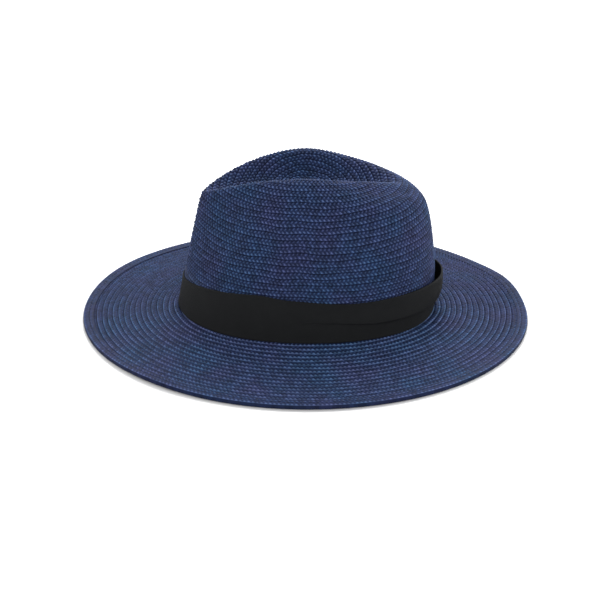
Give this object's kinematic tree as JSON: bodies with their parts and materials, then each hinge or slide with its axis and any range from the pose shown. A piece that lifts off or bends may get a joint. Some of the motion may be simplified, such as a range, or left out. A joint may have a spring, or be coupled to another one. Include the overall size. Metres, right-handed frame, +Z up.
{
  "type": "fedora hat",
  "caption": "Wide-brimmed braided straw fedora with a centre-dented, side-pinched crown, a black ribbon band, a wired rim and an inner sweatband.",
  "frame": {"origin": "centre of the hat's footprint, on the table plane that the rim rests on", "axes": "+Z up through the crown, +X towards the back of the hat, -X towards its front, +Y to the wearer's right"},
  "size_m": [0.368, 0.334, 0.132],
  "materials": {
    "straw_braid": "navy paper-straw braid, faint sheen",
    "ribbon": "matte black woven ribbon",
    "black_thread": "black sewing thread",
    "sewing_thread": "navy sewing thread",
    "sweatband_cloth": "dark twill cloth",
    "label_cloth": "plain woven satin tab, blank",
    "spring_wire": "drawn spring steel",
    "joiner_metal": "crimped brass tube"
  },
  "bodies": {
    "root": {"crown_tip": "straw_braid", "crown_wall": "straw_braid", "brim": "straw_braid", "rim_row": "straw_braid", "braid_tail": "straw_braid", "rim_wire": "spring_wire", "wire_joiner": "joiner_metal", "rim_thread": "sewing_thread", "braid_tail_tack": "sewing_thread", "hat_band": "ribbon", "band_keeper": "ribbon", "keeper_tack_1": "black_thread", "keeper_tack_2": "black_thread", "keeper_tack_3": "black_thread", "keeper_tack_4": "black_thread", "sweatband": "sweatband_cloth", "sweatband_seam_tape": "sweatband_cloth", "sweatband_thread": "sewing_thread", "label": "label_cloth", "label_stitch_1": "sewing_thread", "label_stitch_2": "sewing_thread"}
  },
  "joints": []
}
